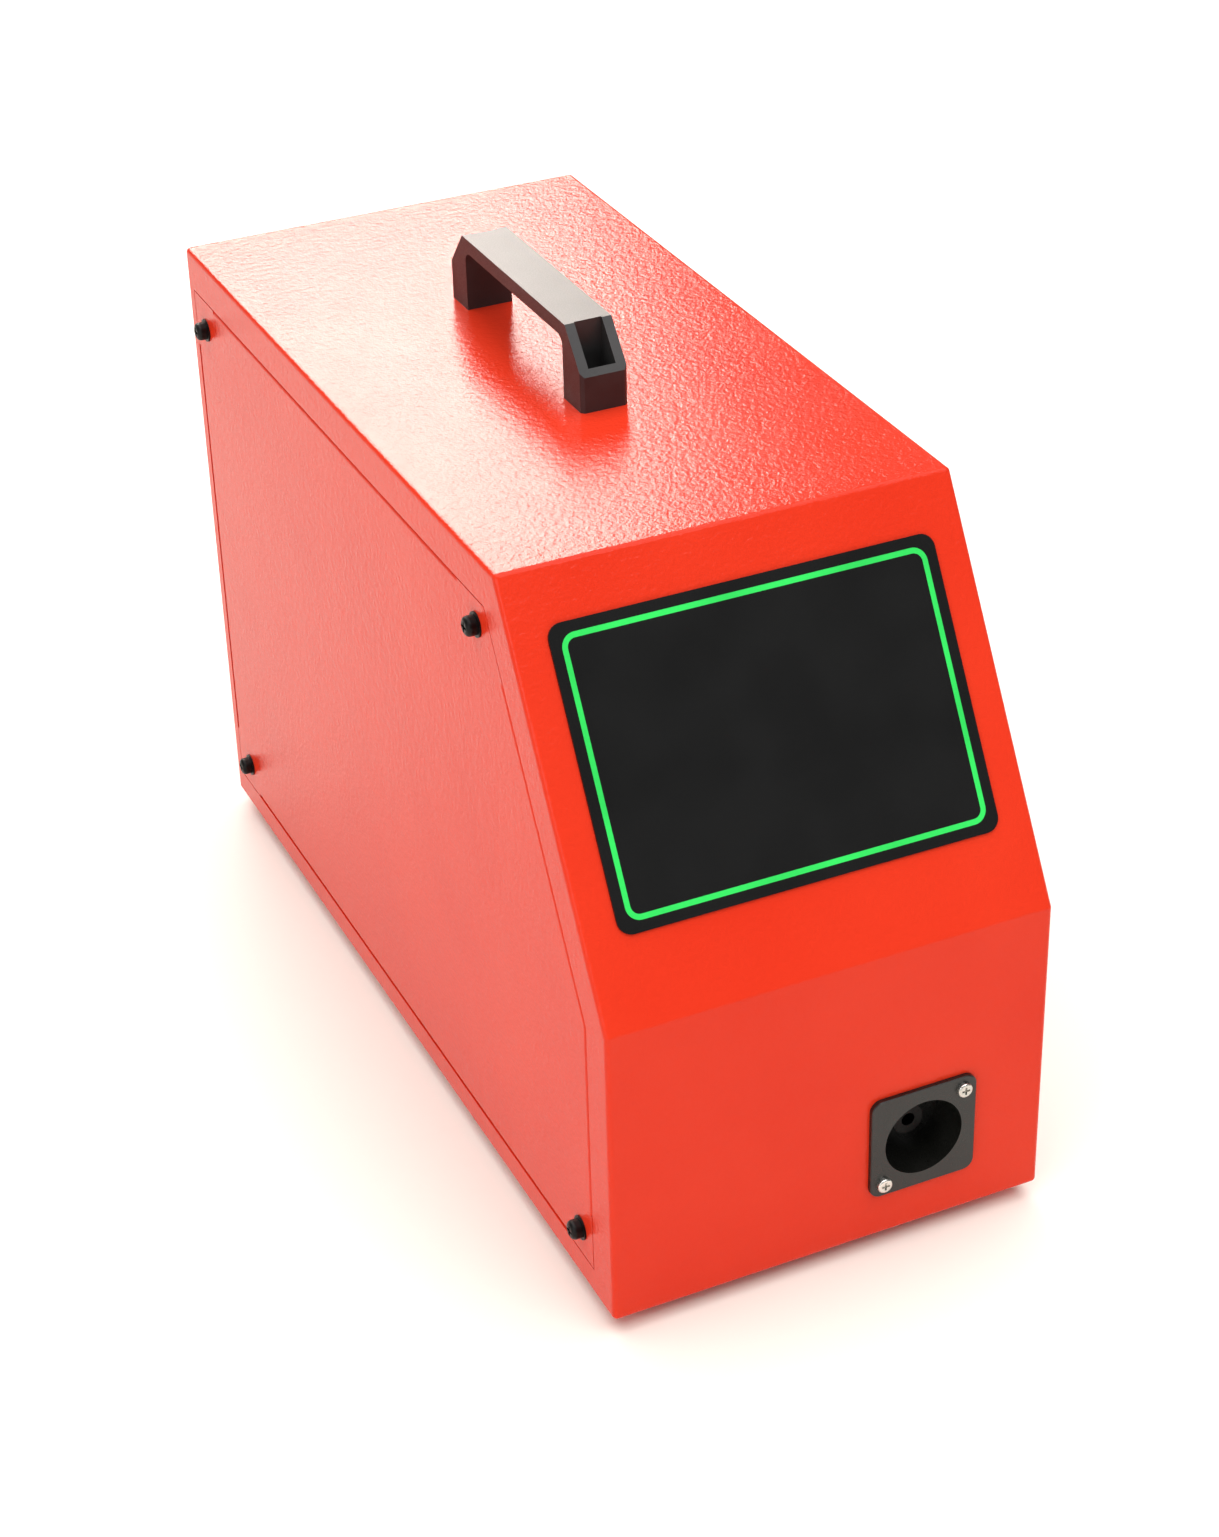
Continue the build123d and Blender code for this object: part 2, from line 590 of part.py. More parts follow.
def build_hub():
    """Spool hub that turns on a fixed axle, with its brake washers and nut."""
    seat = DIVIDER_X + SHEET
    axle = rod_x(seat, 100, HUB_Y, HUB_Z, AXLE_R) + rod_x(seat, seat + 4, HUB_Y, HUB_Z, 30)
    axle += rod_x(DIVIDER_X - 8, seat, HUB_Y, HUB_Z, AXLE_R - 0.05)
    nut = hex_x(DIVIDER_X - 7, DIVIDER_X, HUB_Y, HUB_Z, 28)
    nut -= rod_x(DIVIDER_X - 9, seat, HUB_Y, HUB_Z, AXLE_R)
    flange_x = seat + 5
    hub = rod_x(flange_x, 104, HUB_Y, HUB_Z, HUB_R)
    hub = chamfer(hub.edges().group_by(Axis.X)[-1], 2)
    hub += rod_x(flange_x, flange_x + 5, HUB_Y, HUB_Z, HUB_FLANGE_R)
    peg = rod_x(flange_x + 5, flange_x + 20, HUB_Y - SPOOL_PEG_RADIUS, HUB_Z, 4.5)
    hub += peg
    hub -= rod_x(flange_x - 1, 105, HUB_Y, HUB_Z, AXLE_R + RUNNING_GAP)
    hub -= rod_x(84, 105, HUB_Y, HUB_Z, 17)
    save("spool_hub", hub)
    washers = []
    for number in range(4):
        x = 84.2 + number * 2.0
        ring = rod_x(x, x + 1.6, HUB_Y, HUB_Z, 16)
        washers.append(ring - rod_x(x - 1, x + 3, HUB_Y, HUB_Z, AXLE_R))
    brake_nut = hex_x(92.2, 99, HUB_Y, HUB_Z, 27) - rod_x(90, 101, HUB_Y, HUB_Z, AXLE_R)
    save("hub_axle", axle, nut, brake_nut, *washers)


# Gears

def involute(angle):
    """Involute function of an angle in radians."""
    return tan(angle) - angle


def gear_outline(teeth, backlash):
    """Spur gear outline with involute flanks, as (y, z) points, a tooth centred on +Y."""
    pitch_r = GEAR_MODULE * teeth / 2
    base_r = pitch_r * cos(radians(20))
    tip_r = pitch_r + 0.92 * GEAR_MODULE
    root_r = pitch_r - 1.25 * GEAR_MODULE
    half_tooth = pi / (2 * teeth) - backlash / (2 * pitch_r) + involute(radians(20))
    flank = []
    for step in range(5):
        r = max(base_r, root_r) + (tip_r - max(base_r, root_r)) * step / 4
        flank.append((r, half_tooth - involute(acos(min(1.0, base_r / r)))))
    if root_r < base_r:
        flank.insert(0, (root_r, flank[0][1]))
    points = []
    for tooth in range(teeth):
        centre = 2 * pi * tooth / teeth
        points += [(r * cos(centre - a), r * sin(centre - a)) for r, a in flank]
        points += [(r * cos(centre + a), r * sin(centre + a)) for r, a in reversed(flank)]
    return points


def gear(teeth, y, z, turn, bore):
    """Spur gear about X at a place, turned by an angle, with a bore."""
    wheel = prism_x(gear_outline(teeth, 0.2), GEAR_BACK_X, GEAR_FRONT_X)
    return Pos(0, y, z) * Rot(turn, 0, 0) * (wheel - rod_x(0, 100, 0, 0, bore))


# Wire drive

def build_drive_plate():
    """Drive plate on four standoffs, bored for the shafts."""
    y0, y1, z0, z1 = DRIVE_Y - 80, DRIVE_Y + 80, 22, 122
    plate = block(PLATE_BACK_X, PLATE_FRONT_X, y0, y1, z0, z1)
    plate = fillet(plate.edges().filter_by(Axis.X), 8)
    plate -= rod_x(20, 40, DRIVE_Y, AXIS_Z, 11)
    bushes, standoffs, bolts = [], [], []
    for y in (FRONT_ROLLER_Y, REAR_ROLLER_Y):
        plate -= rod_x(20, 40, y, AXIS_Z, 9)
        bush = rod_x(PLATE_BACK_X, PLATE_FRONT_X, y, AXIS_Z, 9)
        bushes.append(bush - rod_x(20, 40, y, AXIS_Z, SHAFT_R + RUNNING_GAP))
    for y in (y0 + 9, y1 - 9):
        for z in (z0 + 9, z1 - 9):
            plate -= rod_x(20, 40, y, z, 2.6)
            standoffs.append(hex_x(DIVIDER_X + SHEET, PLATE_BACK_X, y, z, 12))
            bolts.append(rod_x(PLATE_FRONT_X, PLATE_FRONT_X + 4, y, z, 4.5)
                         - hex_x(PLATE_FRONT_X + 1.5, PLATE_FRONT_X + 5, y, z, 4)
                         + rod_x(PLATE_BACK_X, PLATE_FRONT_X, y, z, 2.5))
    for dy in (-19, 19):
        for dz in (-19, 19):
            plate -= rod_x(PLATE_FRONT_X - 3.5, 40, DRIVE_Y + dy, AXIS_Z + dz, 3.7)
            plate -= rod_x(20, 40, DRIVE_Y + dy, AXIS_Z + dz, 2.1)
            head = rod_x(PLATE_FRONT_X - 3.5, PLATE_FRONT_X - 0.5, DRIVE_Y + dy, AXIS_Z + dz, 3.5)
            head -= hex_x(PLATE_FRONT_X - 2, PLATE_FRONT_X, DRIVE_Y + dy, AXIS_Z + dz, 3)
            bolts.append(head + rod_x(PLATE_BACK_X, PLATE_FRONT_X - 3.5, DRIVE_Y + dy, AXIS_Z + dz, 2))
    for side in (-1, 1):
        pivot_y = DRIVE_Y + side * ARM_PIVOT_OFFSET
        pivot = rod_x(PLATE_FRONT_X, 47.5, pivot_y, ARM_PIVOT_Z, SHAFT_R)
        pivot += rod_x(47.5, 50, pivot_y, ARM_PIVOT_Z, 9)
        bolts.append(pivot - hex_x(48, 51, pivot_y, ARM_PIVOT_Z, 6))
    save("drive_plate", plate, *bushes)
    save("plate_fixings", *standoffs, *bolts)


def build_motor():
    """Geared motor behind the plate; its output shaft carries the drive gear."""
    gearbox = block(-18, PLATE_BACK_X, DRIVE_Y - 26, DRIVE_Y + 26, AXIS_Z - 26, AXIS_Z + 26)
    gearbox = fillet(gearbox.edges().filter_by(Axis.X), 4)
    gearbox -= rod_x(10, 30, DRIVE_Y, AXIS_Z, 5 + RUNNING_GAP)
    can = rod_x(-102, -18, DRIVE_Y, AXIS_Z, 26)
    can = fillet(can.edges().group_by(Axis.X)[0], 3)
    cap = rod_x(-108, -102, DRIVE_Y, AXIS_Z, 12)
    save("gearbox", gearbox)
    save("motor_can", can + cap)
    shaft = rod_x(12, 50, DRIVE_Y, AXIS_Z, 5)
    save("drive_gear", gear(DRIVER_TEETH, DRIVE_Y, AXIS_Z, 0, 5), shaft)


def build_feed_rollers():
    """Two geared, grooved feed rollers on their shafts, with retaining nuts."""
    for name, y in (("front", FRONT_ROLLER_Y), ("rear", REAR_ROLLER_Y)):
        shaft = rod_x(24.6, ROLLER_FRONT_X, y, AXIS_Z, SHAFT_R)
        shaft += rod_x(23.0, PLATE_BACK_X - 0.2, y, AXIS_Z, 8)
        shaft += rod_x(ROLLER_FRONT_X, ROLLER_FRONT_X + 10, y, AXIS_Z, 3)
        save(f"feed_gear_{name}", gear(DRIVEN_TEETH, y, AXIS_Z, 180 / DRIVEN_TEETH, SHAFT_R))
        roller = rod_x(ROLLER_BACK_X, ROLLER_FRONT_X, y, AXIS_Z, FEED_ROLLER_R)
        roller = chamfer(roller.edges(), ROLLER_EDGE)
        groove = Plane.XZ * make_face(Polyline(
            (WIRE_X - 1.2, FEED_ROLLER_R + 0.1), (WIRE_X, FEED_ROLLER_R - 1.1),
            (WIRE_X + 1.2, FEED_ROLLER_R + 0.1), close=True))
        roller -= Pos(0, y, AXIS_Z) * revolve(groove, Axis.X)
        for turn in (90, 210, 330):
            spot_y = y + 11.5 * cos(radians(turn))
            spot_z = AXIS_Z + 11.5 * sin(radians(turn))
            roller -= rod_x(ROLLER_BACK_X - 1, ROLLER_FRONT_X + 1, spot_y, spot_z, 2)
        bore = rod_x(ROLLER_BACK_X - 1, ROLLER_FRONT_X + 1, y, AXIS_Z, SHAFT_R)
        save(f"feed_roller_{name}", roller - bore)
        nut = rod_x(ROLLER_FRONT_X, ROLLER_FRONT_X + 10, y, AXIS_Z, 9)
        nut = chamfer(nut.edges().group_by(Axis.X)[-1], 1)
        save(f"feed_shaft_{name}", shaft, nut - rod_x(ROLLER_FRONT_X - 1, 71, y, AXIS_Z, 3))


def build_pressure_arms():
    """Two hinged arms, each with a pressure roller; their tips are slotted for the levers."""
    for name, side in (("front", -1), ("rear", 1)):
        pivot_y = DRIVE_Y + side * ARM_PIVOT_OFFSET
        roller_y = DRIVE_Y + side * GEAR_CENTRES
        lever_y = DRIVE_Y + side * LEVER_OFFSET
        spine = [
            (pivot_y, ARM_PIVOT_Z - 9), (pivot_y, ARM_PIVOT_Z + 9),
            (lever_y - side * 7, 96.5), (lever_y - side * 7, 86.5), (roller_y, 85.0),
        ]
        arm = prism_x(spine, GEAR_BACK_X, GEAR_FRONT_X)
        arm += rod_x(GEAR_BACK_X, GEAR_FRONT_X, pivot_y, ARM_PIVOT_Z, 10)
        arm += rod_x(GEAR_BACK_X, ROLLER_BACK_X - 0.6, roller_y, PRESSURE_Z, 8)
        arm -= block(LEVER_X - 3.8, 50, lever_y - 3.8, lever_y + 3.8, 80, 110)
        arm -= block(30, 50, lever_y - 8, lever_y + 8, SPRING_SEAT_Z, 110)
        arm -= rod_x(30, 60, pivot_y, ARM_PIVOT_Z, SHAFT_R + RUNNING_GAP)
        arm -= rod_x(30, 60, roller_y, PRESSURE_Z, ROLLER_PIN_R)
        axle = rod_x(GEAR_BACK_X, ROLLER_FRONT_X + 2, roller_y, PRESSURE_Z, ROLLER_PIN_R)
        axle += rod_x(ROLLER_FRONT_X + 0.2, ROLLER_FRONT_X + 2, roller_y, PRESSURE_Z, 6)
        save(f"pressure_arm_{name}", arm, axle)
        roller = rod_x(ROLLER_BACK_X, ROLLER_FRONT_X, roller_y, PRESSURE_Z, PRESSURE_ROLLER_R)
        roller = chamfer(roller.edges(), ROLLER_EDGE)
        bore = rod_x(40, 64, roller_y, PRESSURE_Z, ROLLER_PIN_R + RUNNING_GAP)
        save(f"pressure_roller_{name}", roller - bore)


def build_tension_levers():
    """Two swing-out tension levers on a clevis block, at rest swung out towards the door."""
    clevis = block(PLATE_FRONT_X, 48, DRIVE_Y - 20, DRIVE_Y + 20, 72, 84)
    for side in (-1, 1):
        lever_y = DRIVE_Y + side * LEVER_OFFSET
        clevis -= block(36.6, 50, lever_y - 3.4, lever_y + 3.4, 74.4, 90)
    clevis -= rod_y(DRIVE_Y - 21, DRIVE_Y + 21, LEVER_X, LEVER_Z, 2)
    save("lever_clevis", clevis, rod_y(DRIVE_Y - 20, DRIVE_Y + 20, LEVER_X, LEVER_Z, 2))
    swing = Pos(LEVER_X, 0, LEVER_Z) * Rot(0, LEVER_REST_ANGLE, 0)
    for name, side in (("front", -1), ("rear", 1)):
        lever_y = DRIVE_Y + side * LEVER_OFFSET
        eye = rod_y(lever_y - 3, lever_y + 3, 0, 0, 5) + rod_z(0, 46, 0, lever_y, 3)
        eye -= rod_y(lever_y - 4, lever_y + 4, 0, 0, 2 + RUNNING_GAP)
        coils = []
        for number in range(5):
            z = 17.6 + number * 2.4
            ring = rod_z(z, z + 1.8, 0, lever_y, 5.6)
            coils.append(ring - rod_z(z - 1, z + 3, 0, lever_y, 3))
        save(f"tension_rod_{name}", swing * eye, swing * Compound(coils))
        knob = rod_z(29.6, 48, 0, lever_y, 7)
        knob = chamfer(knob.edges().group_by(Axis.Z)[-1], 1.5)
        for turn in range(8):
            angle = radians(turn * 45)
            knob -= rod_z(31, 50, 7.4 * cos(angle), lever_y + 7.4 * sin(angle), 1.2)
        save(f"tension_knob_{name}", swing * (knob - rod_z(29, 46, 0, lever_y, 3)))


def build_wire_guides():
    """Inlet, middle and outlet guides: brass tubes in small brackets."""
    inlet = block(PLATE_FRONT_X, 60, DRIVE_Y + 62, DRIVE_Y + 74, 64, 78)
    middle = block(48, 58, DRIVE_Y - 5, DRIVE_Y + 5, 66.5, 78)
    outlet = block(PLATE_FRONT_X, 60, DRIVE_Y - 74, DRIVE_Y - 62, 64, 78)
    tubes = []
    cup_back = FRONT + CUP_DEPTH
    runs = [(DRIVE_Y + 58, DRIVE_Y + 92, 3.5), (DRIVE_Y - 17, DRIVE_Y + 17, 2.5),
            (cup_back + 8, DRIVE_Y - 57, 3.5)]
    brackets = []
    for bracket, (y0, y1, r) in zip((inlet, middle, outlet), runs):
        brackets.append(bracket - rod_y(y0 - 1, y1 + 1, WIRE_X, WIRE_Z, r))
        tubes.append(rod_y(y0, y1, WIRE_X, WIRE_Z, r) - rod_y(y0 - 1, y1 + 1, WIRE_X, WIRE_Z, 1.0))
    save("wire_guides", *brackets, *tubes)


# Electronics bay

def build_electronics():
    """Power supply, driver board on standoffs, terminal block and the internal wiring."""
    z0 = BOTTOM + SHEET + 1
    supply = block(-112, -24, 40, 239, z0 + 1, z0 + 39)
    for row in range(12):
        slot_y = 70 + row * 12
        supply -= block(-100, -36, slot_y, slot_y + 5, z0 + 37, z0 + 40)
    supply -= block(-108, -28, 39, 52, z0 + 14, z0 + 40)
    tabs = []
    for y in (60, 219):
        tabs.append(block(-112, -24, y - 5, y + 5, z0 - 1, z0 + 1))
    terminals = block(-108, -28, 40.5, 51.5, z0 + 14.5, z0 + 28)
    for number in range(7):
        x = -102 + number * 11.2
        terminals -= rod_z(z0 + 25, z0 + 29, x, 46, 3)
    save("power_supply", supply, terminals, *tabs)

    board_x = DIVIDER_X - 10
    board = block(board_x - 1.6, board_x, -70, 70, 230, 330)
    spacers, chips = [], []
    for y in (-64, 64):
        for z in (236, 324):
            spacers.append(rod_x(board_x, DIVIDER_X, y, z, 3))
    face = board_x - 1.6
    chips.append(block(face - 22, face, -60, -30, 300, 326))
    chips.append(block(face - 12, face, 20, 62, 236, 248))
    chips.append(block(face - 3, face, -8, 12, 270, 290))
    for number in range(4):
        chips.append(rod_x(face - 20, face, -48 + number * 16, 250, 6))
    save("driver_board", board, *spacers, *chips)


def wire(points, r, bend):
    """Round wire along straight runs joined by tangent arcs."""
    path = FilletPolyline(*points, radius=bend)
    start = path @ 0
    section = Plane(origin=start, z_dir=path % 0) * Circle(r)
    return sweep(section, path=path)


def build_harness():
    """Clipped internal wiring between the inlet, switch, supply, board and motor."""
    lines = [
        wire([(INLET_X, 272, INLET_Z), (INLET_X, 255, INLET_Z), (-66, 255, 62), (-66, 232, 56)], 2.5, 5),
        wire([(-40, 46, 41), (-40, 46, 90), (-26, 46, 150), (-26, 46, 236)], 2.5, 12),
        wire([(-96, DRIVE_Y + 10, 80), (-96, DRIVE_Y + 10, 120), (-60, -60, 200), (-32, -40, 296)], 2.5, 20),
    ]
    save("harness", *lines)


# Rear fittings

def build_rear_fittings():
    """Power inlet, rocker switch, signal socket and ground stud."""
    x, z = INLET_X, INLET_Z
    inlet = block(x - 25, x + 25, REAR, REAR + 3, z - 12, z + 12)
    inlet = fillet(inlet.edges().filter_by(Axis.Y), 4)
    inlet += block(x - 13.8, x + 13.8, REAR - 28, REAR, z - 10.3, z + 10.3)
    inlet -= block(x - 12, x + 12, REAR - 16, REAR + 4, z - 8, z + 8)
    pins = []
    for dx in (-20, 20):
        inlet -= rod_y(REAR - 1, REAR + 4, x + dx, z, 1.7)
    for dx, dz in ((-7, -2), (0, 2), (7, -2)):
        pins.append(block(x + dx - 1, x + dx + 1, REAR - 16, REAR - 3, z + dz - 2, z + dz + 2))
    save("power_inlet", inlet, *pins)

    x, z = SWITCH_X, SWITCH_Z
    bezel = block(x - 11, x + 11, REAR, REAR + 1.6, z - 16, z + 16)
    bezel += block(x - 8.8, x + 8.8, REAR - 22, REAR, z - 13.8, z + 13.8)
    bezel -= block(x - 7, x + 7, REAR - 10, REAR + 5, z - 12.2, z + 12.2)
    half = 10.0
    shape = [(-6, -3), (-6, 3), (3.0, half), (0.6, 0), (3.0, -half)]
    rocker = prism_x([(y + 1.0, dz) for y, dz in shape], x - 6.7, x + 6.7)
    rocker = Pos(0, REAR - 2, z) * Rot(ROCKER_TILT, 0, 0) * rocker
    rocker -= rod_x(x - 10, x + 10, REAR - 2, z, 1.5 + RUNNING_GAP)
    save("switch_rocker", rocker)
    save("switch_body", bezel, rod_x(x - 7, x + 7, REAR - 2, z, 1.5))

    x, z = SIGNAL_X, SIGNAL_Z
    socket = rod_y(REAR, REAR + 3, x, z, 13) + rod_y(REAR - 16, REAR, x, z, 9.4)
    socket -= rod_y(REAR - 8, REAR + 4, x, z, 7)
    for number in range(5):
        angle = radians(36 + 72 * number)
        socket += rod_y(REAR - 9, REAR - 1, x + 4 * cos(angle), z + 4 * sin(angle), 0.8)
    save("signal_socket", socket)

    x, z = STUD_X, STUD_Z
    stud = rod_y(REAR - 12, REAR_REACH, x, z, 3)
    nuts = []
    for y0, y1 in ((REAR - SHEET - 4, REAR - SHEET), (REAR, REAR + 3.6)):
        outline = RegularPolygon(5, 6, major_radius=False)
        nut = Pos(x, y0, z) * Rot(-90, 0, 0) * extrude(outline, amount=y1 - y0)
        nuts.append(nut - rod_y(y0 - 1, y1 + 1, x, z, 3))
    save("ground_stud", stud, *nuts)


# Push-buttons

def build_buttons():
    """Wire inching buttons in a small box on the divider."""
    seat = DIVIDER_X + SHEET
    z = BUTTON_Z
    box = block(seat, 20, BUTTON_YS[0] - 18, BUTTON_YS[1] + 18, z - 15, z + 15)
    bezels = []
    for y in BUTTON_YS:
        box -= rod_x(6, 21, y, z, 4.1)
        bezels.append(rod_x(20, 24, y, z, 10) - rod_x(19, 25, y, z, BUTTON_R + 0.1))
    save("button_box", box, *bezels)
    for name, y in zip(("button_forward", "button_reverse"), BUTTON_YS):
        save(name, rod_x(23.2, 29, y, z, BUTTON_R) + rod_x(10, 23.2, y, z, 4))


def main():
    os.makedirs("parts", exist_ok=True)
    build_case()
    build_case_screws()
    build_left_cover()
    build_cover_brackets()
    build_cover_screws()
    build_door()
    build_hinges()
    build_latches()
    build_handle()
    build_name_plate()
    build_outlet()
    build_feet()
    build_divider()
    build_hub()
    build_drive_plate()
    build_motor()
    build_feed_rollers()
    build_pressure_arms()
    build_tension_levers()
    build_wire_guides()
    build_electronics()
    build_harness()
    build_rear_fittings()
    build_buttons()


main()
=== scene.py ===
import json
import math

import bmesh
import bpy
from mathutils import Matrix, Vector


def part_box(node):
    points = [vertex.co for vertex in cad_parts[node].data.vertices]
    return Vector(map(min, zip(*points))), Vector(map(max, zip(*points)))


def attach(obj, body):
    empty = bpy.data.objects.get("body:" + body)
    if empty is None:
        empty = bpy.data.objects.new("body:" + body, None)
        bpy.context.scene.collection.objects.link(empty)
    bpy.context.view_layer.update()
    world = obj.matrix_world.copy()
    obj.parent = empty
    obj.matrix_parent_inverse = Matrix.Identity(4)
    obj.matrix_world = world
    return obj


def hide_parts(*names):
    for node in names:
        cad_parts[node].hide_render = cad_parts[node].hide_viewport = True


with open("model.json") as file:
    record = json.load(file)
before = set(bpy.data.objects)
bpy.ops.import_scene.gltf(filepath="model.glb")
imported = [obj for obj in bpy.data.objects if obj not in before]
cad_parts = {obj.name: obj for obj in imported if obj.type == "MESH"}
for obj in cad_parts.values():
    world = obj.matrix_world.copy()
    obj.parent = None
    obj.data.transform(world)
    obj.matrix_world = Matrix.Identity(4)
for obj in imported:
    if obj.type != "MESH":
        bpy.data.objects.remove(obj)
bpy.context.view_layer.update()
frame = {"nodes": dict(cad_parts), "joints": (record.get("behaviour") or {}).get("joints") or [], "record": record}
NODES = frame["nodes"]
MM = 0.001
PEG_RADIUS = 44.5
FOOT_R = 13.0


# Camera, floor and lights

CAMERA_AZIMUTH = -24.11
CAMERA_ELEVATION = 31.71
CAMERA_ROLL = -1.63
CAMERA_DISTANCE = 1.803
CAMERA_LENS = 73.1
CAMERA_AIM = (0.00966, -0.08196)
AIM_HEIGHT = 0.2486
SKY_POWER = 3.5
SKY_ANGLE = math.radians(80)
WORLD_STRENGTH = 0.25
WARM = (1.0, 0.90, 0.82)
FLOOR_SIZE = 30
FLOOR_SINK = 0.0005
FLOOR_COLOUR = (0.94, 0.89, 0.81, 1)
SENSOR_WIDTH = 36


def view_axes(azimuth, elevation):
    """Right, up and back directions of a camera at an azimuth and elevation in degrees."""
    az, el = math.radians(azimuth), math.radians(elevation)
    back = Vector((math.sin(az) * math.cos(el), -math.cos(az) * math.cos(el), math.sin(el)))
    right = Vector((math.cos(az), math.sin(az), 0))
    return right, back.cross(right), back


def add_camera():
    """The camera, aimed near the object's middle."""
    right, up, back = view_axes(CAMERA_AZIMUTH, CAMERA_ELEVATION)
    target = Vector((0, 0, AIM_HEIGHT)) + right * CAMERA_AIM[0] + up * CAMERA_AIM[1]
    roll = math.radians(CAMERA_ROLL)
    across = right * math.cos(roll) + up * math.sin(roll)
    upward = up * math.cos(roll) - right * math.sin(roll)
    turn = Matrix((across, upward, back)).transposed().to_4x4()
    data = bpy.data.cameras.new("camera")
    data.lens = CAMERA_LENS
    data.sensor_width = SENSOR_WIDTH
    data.clip_end = 100
    camera = bpy.data.objects.new("camera", data)
    bpy.context.scene.collection.objects.link(camera)
    camera.matrix_world = Matrix.Translation(target + back * CAMERA_DISTANCE) @ turn
    bpy.context.scene.camera = camera


def add_area(name, place, aim, size, power, colour=(1, 1, 1)):
    """Rectangular soft light at a place, aimed at a point."""
    data = bpy.data.lights.new(name, "AREA")
    data.shape = "RECTANGLE"
    data.size, data.size_y = size
    data.energy = power
    data.color = colour
    lamp = bpy.data.objects.new(name, data)
    bpy.context.scene.collection.objects.link(lamp)
    direction = Vector(aim) - Vector(place)
    lamp.rotation_euler = direction.to_track_quat("-Z", "Y").to_euler()
    lamp.location = place
    return lamp


def add_stage():
    """Pale floor, pale world and soft studio lamps; the rear one gives gloss only."""
    bpy.ops.mesh.primitive_plane_add(size=FLOOR_SIZE, location=(0, 0, -FLOOR_SINK))
    floor = bpy.context.object
    floor.name = "floor"
    paper = bpy.data.materials.new("floor_paper")
    paper.use_nodes = True
    shader = paper.node_tree.nodes["Principled BSDF"]
    shader.inputs["Base Color"].default_value = FLOOR_COLOUR
    shader.inputs["Roughness"].default_value = 0.6
    floor.data.materials.append(paper)

    world = bpy.data.worlds.new("studio")
    world.use_nodes = True
    world.node_tree.nodes["Background"].inputs["Color"].default_value = (1, 1, 1, 1)
    world.node_tree.nodes["Background"].inputs["Strength"].default_value = WORLD_STRENGTH
    bpy.context.scene.world = world
    bpy.context.scene.view_settings.view_transform = "Standard"

    sheen_box = add_area("back_softbox", (0.25, 3.05, 2.25), (0, 0, 0.4), (2.4, 1.6), 215, WARM)
    sheen_box.visible_diffuse = False
    add_area("left_softbox", (-2.8, -1.9, 1.5), (0, -0.1, 0.2), (1.8, 1.4), 28)
    add_area("front_softbox", (0.7, -2.1, 2.5), (0, -0.2, 0.25), (1.4, 0.7), 12)
    sky = bpy.data.lights.new("sky", "SUN")
    sky.energy = SKY_POWER
    sky.angle = SKY_ANGLE
    lamp = bpy.data.objects.new("sky", sky)
    bpy.context.scene.collection.objects.link(lamp)


# Materials

def start_material(name):
    """New material, its nodes, links, shader and the object coordinates it is mapped by."""
    material = bpy.data.materials.new(name)
    material.use_nodes = True
    tree = material.node_tree
    shader = tree.nodes["Principled BSDF"]
    coords = tree.nodes.new("ShaderNodeTexCoord").outputs["Object"]
    return material, tree, shader, coords


def noise(tree, coords, scale, detail=3.0, stretch=None):
    """Noise texture at a scale in cycles per metre, stretched along the axes if asked."""
    if stretch:
        mapping = tree.nodes.new("ShaderNodeMapping")
        mapping.inputs["Scale"].default_value = stretch
        tree.links.new(coords, mapping.inputs["Vector"])
        coords = mapping.outputs["Vector"]
    texture = tree.nodes.new("ShaderNodeTexNoise")
    texture.inputs["Scale"].default_value = scale
    texture.inputs["Detail"].default_value = detail
    tree.links.new(coords, texture.inputs["Vector"])
    return texture.outputs["Fac"]


def ramp(tree, factor, stops):
    """Colour ramp over (position, colour) stops."""
    node = tree.nodes.new("ShaderNodeValToRGB")
    elements = node.color_ramp.elements
    while len(elements) < len(stops):
        elements.new(0.5)
    for element, (position, colour) in zip(elements, stops):
        element.position = position
        element.color = (*colour, 1)
    tree.links.new(factor, node.inputs["Fac"])
    return node.outputs["Color"]


def ranged(tree, factor, low, high, start=0.3, end=0.7):
    """A factor mapped from start..end to low..high."""
    node = tree.nodes.new("ShaderNodeMapRange")
    node.inputs["From Min"].default_value = start
    node.inputs["From Max"].default_value = end
    node.inputs["To Min"].default_value = low
    node.inputs["To Max"].default_value = high
    tree.links.new(factor, node.inputs["Value"])
    return node.outputs["Result"]


def bump(tree, shader, layers):
    """Bumps stacked on the shader's normal; each layer is (height, depth in metres, strength)."""
    normal = None
    for height, depth, strength in layers:
        node = tree.nodes.new("ShaderNodeBump")
        node.inputs["Distance"].default_value = depth
        node.inputs["Strength"].default_value = strength
        tree.links.new(height, node.inputs["Height"])
        if normal:
            tree.links.new(normal, node.inputs["Normal"])
        normal = node.outputs["Normal"]
    tree.links.new(normal, shader.inputs["Normal"])


def set_inputs(shader, **values):
    """Sets constants on the shader, with spaces in names written as underscores."""
    for name, value in values.items():
        shader.inputs[name.replace("_", " ")].default_value = value


def powder_coat(name, colour, lighter, grain=620.0):
    """Glossy powder coat with orange peel, faint cloudiness and a few duller rubbed patches."""
    material, tree, shader, coords = start_material(name)
    cloud = noise(tree, coords, 9.0, 2.0)
    rubbed = noise(tree, coords, 22.0, 4.0)
    fine = noise(tree, coords, grain, 2.0)
    coarse = noise(tree, coords, grain / 2.2, 1.0)
    tint = ramp(tree, cloud, [(0.2, colour), (0.8, lighter)])
    tree.links.new(tint, shader.inputs["Base Color"])
    tree.links.new(ranged(tree, rubbed, 0.17, 0.21, 0.35, 0.75), shader.inputs["Roughness"])
    set_inputs(shader, Specular_IOR_Level=0.2, IOR=1.4)
    bump(tree, shader, [(coarse, 0.0003, 0.8), (fine, 0.0002, 0.9)])
    return material


